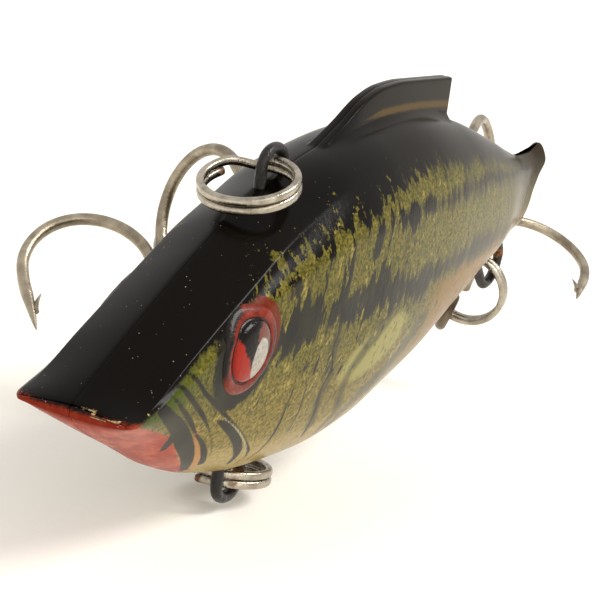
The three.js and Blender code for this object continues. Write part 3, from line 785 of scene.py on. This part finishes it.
def eye_material():
    g = Graph("eye_enamel")
    across, up, radius = g.attribute("across"), g.attribute("up"), g.attribute("radius")
    fine = g.noise(4, 3, 0.6)
    blot = g.noise(1.3, 3, 0.6)
    red = g.mottled(g.noise(2.2, 3, 0.6), 0.7, "5e190c", "7e2a19")
    wander = g.times(blot, 0.25)
    ring = g.edge(radius, 1.98, 2.06, fine, 0.06)
    crescent = g.plus(g.times(across, -0.9), g.times(up, -0.75))
    crescent = g.step(g.plus(crescent, wander), 0.75, 0.95)
    colour = g.mix(crescent, tint("0d0a09"), tint("8c1f10"))
    # A grey patch on the pupil: a painted reflection of the light, also made rougher and dented like
    # scuffed paint.
    glint_x = g.times(g.plus(across, -0.62), 1.12)
    glint_z = g.times(g.plus(up, 0.45), 0.72)
    lighter_patch = g.edge(g.length(glint_x, glint_z), 1.0, 0.92, fine, 0.08)
    lighter_patch = g.times(lighter_patch, g.attribute("lighter_patch"))
    # A brownish-red patch above it: a painted reflection in the domed pupil.
    tinted_glint_x, tinted_glint_z = g.plus(across, -0.7), g.times(g.plus(up, -1.05), 1.1)
    brown = g.step(g.plus(g.length(tinted_glint_x, tinted_glint_z), wander), 0.8, 0.6)
    colour = g.over(colour, brown, "6e3a30", 0.8)
    grey = g.mottled(fine, 0.8, "8a847a", "aaa398")
    colour = g.mix(lighter_patch, colour, grey)
    # Soot covers most of the ring's left, and painted shade its lower right, leaving thin red there.
    left = g.step(g.plus(g.times(across, -1), g.times(up, 0.4)), 1.3, 2.1)
    right = g.step(g.plus(across, g.times(up, -0.25)), 1.5, 2.1)
    outer = g.edge(radius, 2.3, 2.42, fine, 0.1)
    soot_and_shade = g.times(g.math("MAXIMUM", left, right), outer)
    colour = g.mix(ring, colour, g.mix(soot_and_shade, red, tint("1a1614")))
    # Painted shade in the groove round the pupil.
    groove_shade = g.times(g.step(radius, 1.9, 1.97), g.step(radius, 2.12, 2.03))
    colour = g.over(colour, groove_shade, "1b100d")
    g.bump(g.plus(g.times(fine, 0.3), g.times(lighter_patch, -0.5)), 0.03)
    rough = g.plus(g.scaled(lighter_patch, 0.35, 0.16), g.times(ring, 0.12))
    return g.finish(Base_Color=colour, Roughness=rough, Specular_IOR_Level=0.1,
                    Coat_Weight=0.1, Coat_Roughness=0.06)


def make_eye(name, side, material):
    """Rings of the profile laid on the flank; the right eye is the left one mirrored."""
    rim, rise = EYE_PROFILE[-1]
    arc = np.linspace(0, 1.5, 16)[1:]
    dome = [(rim * math.cos(a), rise + EYE_DOME * math.sin(a)) for a in arc]
    profile = np.array(EYE_PROFILE + dome)
    turns = angles_round(EYE_SIDES)
    radius, height = profile[:, :1], profile[:, 1:]
    across, up = radius * np.cos(turns), radius * np.sin(turns)
    x, z = EYE_X + across, EYE_Z + up
    y = flank_y(x.ravel(), z.ravel()).reshape(x.shape) + height
    points = np.stack([x, side * y, z], -1)
    rows, columns = across.shape
    faces = tube_faces(rows, columns)
    if side > 0:
        faces = reversed_faces(faces)
    eye = piece(name, points.reshape(-1, 3), faces, material, "lure_body", None)
    set_attribute(eye, "across", across.ravel())
    set_attribute(eye, "up", up.ravel())
    set_attribute(eye, "radius", np.repeat(profile[:, 0], columns))
    # Only the left eye gets the grey patch, a painted reflection on scuffed paint.
    set_attribute(eye, "lighter_patch", np.full(rows * columns, 1.0 if side < 0 else 0.0))


# ---- Wire hangers --------------------------------------------------------------------------
HANGERS = {
    "line_tie_wire": dict(
        x=20.1, z=11.35, half=1.4, wire=0.37, rise=0.75, depth=4.4, foot=1.9, up=1, turn=0
    ),
    "belly_hanger_wire": dict(
        x=20.1, z=-7.75, half=1.4, wire=0.4, rise=0.85, depth=3.2, foot=1.5, up=-1, turn=0
    ),
    "tail_hanger_wire": dict(
        x=60.5, z=1.7, half=1.9, wire=0.4, rise=1.3, depth=2.2, foot=0, up=-1, turn=-0.785
    ),
}
ARCH_SQUASH = 0.8
WIRE_STEPS, WIRE_SIDES = 150, 20


def staple_path(spec):
    """A staple's middle line: leg, arch and leg, with the feet turned out where it has feet."""
    half, depth, foot = spec["half"], spec["depth"], spec["foot"]
    leg = [(-half, -depth)]
    if foot > 0:
        leg = [(-half - foot, -depth), (-half - foot * 0.35, -depth * 0.95)]
    leg += [(-half, -depth * 0.62), (-half, -depth * 0.28), (-half, 0)]
    angles = math.pi * (1 - np.arange(9) / 8)
    arch = [(half * math.cos(a), spec["rise"] + half * ARCH_SQUASH * math.sin(a)) for a in angles]
    points = leg + arch + [(-x, z) for x, z in reversed(leg)]
    path = np.array([(x, 0, spec["up"] * z) for x, z in points])
    c, s = math.cos(spec["turn"]), math.sin(spec["turn"])
    x, y, z = path.T
    turned = np.stack([x * c + z * s, y, z * c - x * s], 1)
    return curve_through(turned + (spec["x"], 0, spec["z"]), WIRE_STEPS)


def wire_paint_material():
    g = Graph("black_wire_paint")
    coarse, fine = g.noise(1.1, 3, 0.6), g.noise(6, 3, 0.6)
    lighter_patch = g.edge("wear", 0.75, 1.0, coarse, 0.5)
    black = g.mottled(fine, 0.8, "11100f", "24211e")
    bronze = g.mottled(fine, 0.8, "4d2f1a", "96683c")
    g.bump(g.plus(g.times(coarse, 0.7), g.times(fine, 0.25)), 0.05)
    rough = g.scaled(lighter_patch, 0.25, 0.3)
    return g.finish(Base_Color=g.mix(lighter_patch, black, bronze), Roughness=rough, Metallic=g.times(lighter_patch, 0.6),
                    Specular_IOR_Level=0.25, Coat_Weight=0.12, Coat_Roughness=0.2)


def make_hanger(name, spec, material):
    path = staple_path(spec)
    share = np.linspace(0, 1, len(path))
    lumps = 0.02 * np.sin(share * 61) + 0.015 * np.sin(share * 37 + 1)
    points, faces = sweep(path, spec["wire"] * (1 + lumps), round_section(WIRE_SIDES))
    body, slot = "lure_body", "black_wire"
    wire = piece(name + "_painted", points, faces, material, body, name, crease=60)
    rubbed = np.exp(-(((share - 0.66) / 0.06) ** 2))
    set_attribute(wire, "wear", np.repeat(0.25 + 0.75 * rubbed, WIRE_SIDES))


# ---- Split rings ---------------------------------------------------------------------------
RING = dict(radius=2.98, wire=0.268, tall=1.06, pitch=0.6, end_gap=0.45)
RING_STEPS, RING_SIDES = 220, 18
RINGS = {
    "line_tie_split_ring": dict(
        body="line_tie_ring", at=(20.1, 0, 12.19), along=(-0.94, 0, -0.342), side=(0, 1, 0), wire_end=2.5
    ),
    "belly_split_ring": dict(
        body="belly_ring", at=(20.1, 0, -8.53), along=(0.83, 0.55, -0.09), side=(-0.53, 0.84, 0.03),
        wire_end=2,
    ),
    "tail_split_ring": dict(
        body="tail_ring", at=(61.55, 0, 0.65), along=(0.146, 0.552, -0.82), side=(-0.25, 0.81, 0.5),
        wire_end=2,
    ),
}
RUSTY_BODIES = ("belly_ring", "tail_ring")


def ring_axes(spec):
    along = unit(spec["along"])
    side = unit(np.array(spec["side"]) - along * along.dot(spec["side"]))
    return along, side, np.cross(along, side)


def nickel_material():
    g = Graph("dulled_nickel")
    coarse, fine = g.noise(0.9, 3, 0.6), g.noise(5, 4, 0.65)
    drawn = g.noise((9, 9, 1.5), 2, 0.5)
    plate = g.mottled(coarse, 0.8, "8f8778", "bdb5a6")
    stain = g.edge("rust", 0.55, 0.95, coarse, 0.45)
    brown = g.mottled(fine, 0.7, "3d2a1b", "7a5230")
    rough = g.plus(g.scaled(stain, 0.4, 0.24), g.times(fine, 0.04))
    g.bump(g.plus(g.times(drawn, 0.4), g.times(stain, fine)), 0.02)
    return g.finish(Base_Color=g.mix(stain, plate, brown), Roughness=rough,
                    Metallic=g.scaled(stain, -0.7, 1.0))


def make_ring(name, spec, material):
    """Two flat coils of squared wire with one crossover."""
    gap = RING["end_gap"]
    angle = np.linspace(gap, 4 * math.pi - gap, RING_STEPS)
    cross = np.clip((angle - 2 * math.pi) / gap, -1, 1)
    height = RING["pitch"] / 2 * np.sin(cross * math.pi / 2)
    turn = angle + spec["wire_end"]
    along, side, normal = ring_axes(spec)
    outward = np.cos(turn)[:, None] * along + np.sin(turn)[:, None] * side
    centre = np.array(spec["at"]) + RING["radius"] * along
    path = centre + RING["radius"] * outward + height[:, None] * normal
    section = round_section(RING_SIDES, power=2.7, tall=RING["tall"]) * RING["wire"]
    ends = np.minimum(np.arange(RING_STEPS), np.arange(RING_STEPS)[::-1])
    bevel = np.where(ends == 0, 0.82, 1)[:, None, None]
    offset = section[:, 0, None] * outward[:, None] + section[:, 1, None] * normal
    points = (path[:, None] + bevel * offset).reshape(-1, 3)
    faces = tube_faces(RING_STEPS, RING_SIDES)
    ring = piece(name + "_plated", points, faces, material, spec["body"], name)
    rusty = 0.45 if spec["body"] in RUSTY_BODIES else 0.0
    tip = np.exp(-((ends / 5) ** 2)) * 0.9
    set_attribute(ring, "rust", np.repeat(np.maximum(tip, rusty), RING_SIDES))


# ---- Treble hooks --------------------------------------------------------------------------
HOOK = dict(wire=0.45, gap=10, bend=5.05, shank=17.6, eye=1.27, point=4.7, barb=1.5)
SHANK_OFFSET = 0.55
TREBLES = {
    "belly_treble": dict(
        ring="belly_split_ring", shank=(0.505, 0.659, 0.559), bend=(-0.682, 0.707, -0.186)
    ),
    "tail_treble": dict(ring="tail_split_ring", shank=(0.94, 0.23, 0.26), bend=(0.31, -0.9, -0.3)),
}
SPREAD = math.pi / 3  # half the angle between the double hook's two bends
BRAZE_STEPS, BRAZE_SIDES = 40, 30


def treble_axes(spec):
    ring = RINGS[spec["ring"]]
    eye = np.array(ring["at"]) + 2 * RING["radius"] * unit(ring["along"])
    shank = unit(spec["shank"])
    away = -unit(spec["bend"])
    across = unit(away - shank * shank.dot(away))
    return eye, np.stack([across, np.cross(shank, across), shank])


def bend_points(angle):
    """One wire from low on the shank, round its bend and down to its point."""
    reach = [SHANK_OFFSET] * 4
    height = [HOOK["shank"] * share for share in (0.3, 0.55, 0.8, 0.93)]
    middle = (HOOK["gap"] + SHANK_OFFSET) / 2
    for turn in np.linspace(0, math.pi, 9):
        reach.append(middle - (HOOK["gap"] - middle) * math.cos(turn))
        height.append(HOOK["shank"] + HOOK["bend"] * math.sin(turn))
    for share in (0.5, 1):
        reach.append(HOOK["gap"] - 0.02 * share)
        height.append(HOOK["shank"] - HOOK["point"] * share)
    return [(r * math.cos(angle), r * math.sin(angle), z) for r, z in zip(reach, height)]


def point_taper(path, ends):
    """Wire radius along a path that narrows to a needle at the named ends."""
    steps = np.linalg.norm(np.diff(path, axis=0), axis=1)
    along = np.concatenate([[0], np.cumsum(steps)])
    radius = np.full(len(path), HOOK["wire"])
    for end in ends:
        left = along if end == 0 else along[-1] - along
        radius = np.minimum(radius, 0.04 + HOOK["wire"] * 0.93 * np.clip(left / 3.4, 0, 1) ** 0.72)
    return radius


def barb(angle, start):
    """A thin sliver cut up from the inner side of a point, its tip toward the bend."""
    inner = HOOK["gap"] - HOOK["wire"] * 0.55
    root = HOOK["shank"] - HOOK["point"] * 0.5
    share = np.linspace(0, 1, 9)
    reach = inner - 0.75 * share**1.6
    height = root - 0.75 + (HOOK["barb"] + 0.1) * share
    path = np.stack([reach * math.cos(angle), reach * math.sin(angle), height], 1)
    return sweep(path, 0.27 * (1 - share) ** 0.8 + 0.02, round_section(10), start)


def braze(start):
    """The fillet that fills between the three wires of the shank."""
    height = np.linspace(0.34, 0.95, BRAZE_STEPS) * HOOK["shank"]
    share = np.linspace(0, 1, BRAZE_STEPS)
    swell = np.clip(np.minimum(share, 1 - share) * 9, 0.15, 1) ** 0.5
    angle = angles_round(BRAZE_SIDES)
    lobes = 0.66 + 0.1 * np.cos(3 * angle)
    section = np.stack([np.cos(angle) * lobes, np.sin(angle) * lobes], 1)
    rings = swell[:, None, None] * section
    points = np.dstack([rings, np.repeat(height[:, None], BRAZE_SIDES, 1)]).reshape(-1, 3)
    return points, tube_faces(BRAZE_STEPS, BRAZE_SIDES, start)


def double_hook_path():
    back, side = SHANK_OFFSET * math.cos(SPREAD), SHANK_OFFSET * math.sin(SPREAD)
    eye = HOOK["eye"]
    angles = math.pi / 3 - np.arange(11) / 10 * math.pi * 5 / 3
    loop = [(0, eye * math.cos(a), eye * math.sin(a)) for a in angles]
    path = bend_points(SPREAD)[::-1] + [(back, side, eye * 2)] + loop
    return path + [(back, -side, eye * 2)] + bend_points(-SPREAD)


def bronzed_material():
    g = Graph("aged_hook_steel")
    coarse, fine = g.noise(0.6, 3, 0.6), g.noise(5, 4, 0.65)
    plate = g.mottled(coarse, 0.9, "7d7262", "b3a894")
    tarnish = g.edge("tarnish", 0.5, 1.1, coarse, 0.35)
    colour = g.mix(tarnish, plate, tint("4a3d2d"))
    rough = g.plus(g.scaled(tarnish, 0.2, 0.3), g.times(fine, 0.05))
    g.bump(g.plus(g.times(fine, 0.5), g.times(coarse, 0.5)), 0.015)
    return g.finish(Base_Color=colour, Roughness=rough, Metallic=0.92)


def make_hook(name, body, spec, path, ends, tips, material, filled):
    eye, axes = treble_axes(spec)
    path = curve_through(path, 110 * (1 + filled) + 60)
    points, faces = sweep(path, point_taper(path, ends), round_section(16))
    groups = [(points, faces)]
    for angle in tips:
        start = sum(len(p) for p, _ in groups)
        groups.append(barb(angle, start))
    if filled:
        groups.append(braze(sum(len(p) for p, _ in groups)))
    points = np.vstack([p for p, _ in groups])
    tarnish = 0.95 - np.clip(points[:, 2] / 9, 0, 0.75)
    hook = piece(name + "_plated", eye + points @ axes, sum([f for _, f in groups], []), material,
                 body, name, crease=50)
    set_attribute(hook, "tarnish", tarnish)


def make_treble(name, spec, material):
    double, single = name + "_double_hook", name + "_single_hook"
    make_hook(double, name, spec, double_hook_path(), (0, 1), (SPREAD, -SPREAD), material, True)
    make_hook(single, name, spec, bend_points(math.pi), (1,), (math.pi,), material, False)


# ---- Ballast and shot ----------------------------------------------------------------------
BALLAST = {
    "front_ballast_weight": dict(x=11.75, z=-0.6, radius=2, straight=2.5, half=2.2),
    "belly_ballast_weight": dict(x=30.5, z=-1.6, radius=2.1, straight=5.8, half=2.2),
}
SLUG_SIDES, BALL_SIDES = 48, 40
SLUG_RIMS = [(-1, 0.4), (-1, 0.12), (-0.94, 0.03), (-0.85, 0)]  # share of half width, and inset


def lead_material():
    g = Graph("cast_lead")
    coarse, fine = g.noise(0.8, 4, 0.6), g.noise(3.5, 4, 0.7)
    colour = g.mottled(coarse, 0.8, "5f6266", "8d9195")
    g.bump(g.plus(coarse, g.times(fine, 0.5)), 0.06)
    return g.finish(Base_Color=colour, Roughness=g.scaled(fine, 0.08, 0.5), Metallic=0.9)


def shot_material():
    g = Graph("bearing_steel")
    coarse, fine = g.noise(0.9, 3, 0.6), g.noise(6, 3, 0.6)
    colour = g.mottled(coarse, 0.9, "a5a8ac", "c9ccd0")
    g.bump(fine, 0.004)
    return g.finish(Base_Color=colour, Roughness=g.scaled(fine, 0.05, 0.15), Metallic=1.0)


def make_ballast(name, spec, material):
    """A round-ended slug with softened rims."""
    turn = angles_round(SLUG_SIDES)
    shift = np.sign(np.cos(turn)) * spec["straight"] / 2
    rows = []
    for y, shrink in SLUG_RIMS + [(0, 0)] + [(-y, shrink) for y, shrink in SLUG_RIMS[::-1]]:
        radius = spec["radius"] * (1 - shrink)
        x = spec["x"] + shift * (1 - shrink) + radius * np.cos(turn)
        z = spec["z"] + radius * np.sin(turn)
        rows.append(np.stack([x, np.full(SLUG_SIDES, y * spec["half"]), z], 1))
    faces = reversed_faces(tube_faces(len(rows), SLUG_SIDES))
    piece(name + "_cast", np.vstack(rows), faces, material, "lure_body", name, crease=50)


def make_shot(name, body, material):
    low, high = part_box(name)
    centre = np.array((low + high) / 2) / MM + FOOTPRINT
    radius = (high.y - low.y) / 2 / MM
    tilt, turn = np.linspace(0, math.pi, 25)[1:-1], angles_round(BALL_SIDES)
    ring = np.stack([np.cos(turn), np.sin(turn), 0 * turn], 1)
    rows = [centre + radius * (math.sin(a) * ring + (0, 0, math.cos(a))) for a in tilt]
    faces = reversed_faces(tube_faces(len(rows), BALL_SIDES))
    piece(name + "_ball", np.vstack(rows), faces, material, body, name, crease=60)


# ---- Floor ---------------------------------------------------------------------------------
FLOOR_HALF = 1.6  # metres


def make_floor():
    g = Graph("pale_paper")
    cloud, grain = g.noise(0.01, 2, 0.5), g.noise(0.8, 3, 0.6)
    colour = g.mottled(cloud, 0.8, "fdf9f1", "fffdf8")
    g.bump(grain, 0.01)
    material = g.finish(Base_Color=colour, Roughness=g.scaled(grain, 0.02, 0.75))
    corners = [(x * FLOOR_HALF, y * FLOOR_HALF, 0) for x, y in ((-1, -1), (1, -1), (1, 1), (-1, 1))]
    mesh = bpy.data.meshes.new("floor")
    mesh.from_pydata(corners, [], [(0, 1, 2, 3)])
    mesh.materials.append(material)
    link(bpy.data.objects.new("floor", mesh))


# ---- Build ---------------------------------------------------------------------------------
make_camera()
make_lights()
make_floor()

paint = paint_material()
make_half_shell("left_body_shell", -1, paint)
make_half_shell("right_body_shell", 1, paint)
enamel = eye_material()
make_eye("left_eye", -1, enamel)
make_eye("right_eye", 1, enamel)

wire_paint = wire_paint_material()
for name, spec in HANGERS.items():
    make_hanger(name, spec, wire_paint)
nickel = nickel_material()
for name, spec in RINGS.items():
    make_ring(name, spec, nickel)
bronze = bronzed_material()
for name, spec in TREBLES.items():
    make_treble(name, spec, bronze)

lead = lead_material()
for name, spec in BALLAST.items():
    make_ballast(name, spec, lead)
shot_steel = shot_material()
for body, nodes in frame["record"]["behaviour"]["bodies"].items():
    for node in nodes:
        if "rattle_shot" in node:
            make_shot(node, body, shot_steel)
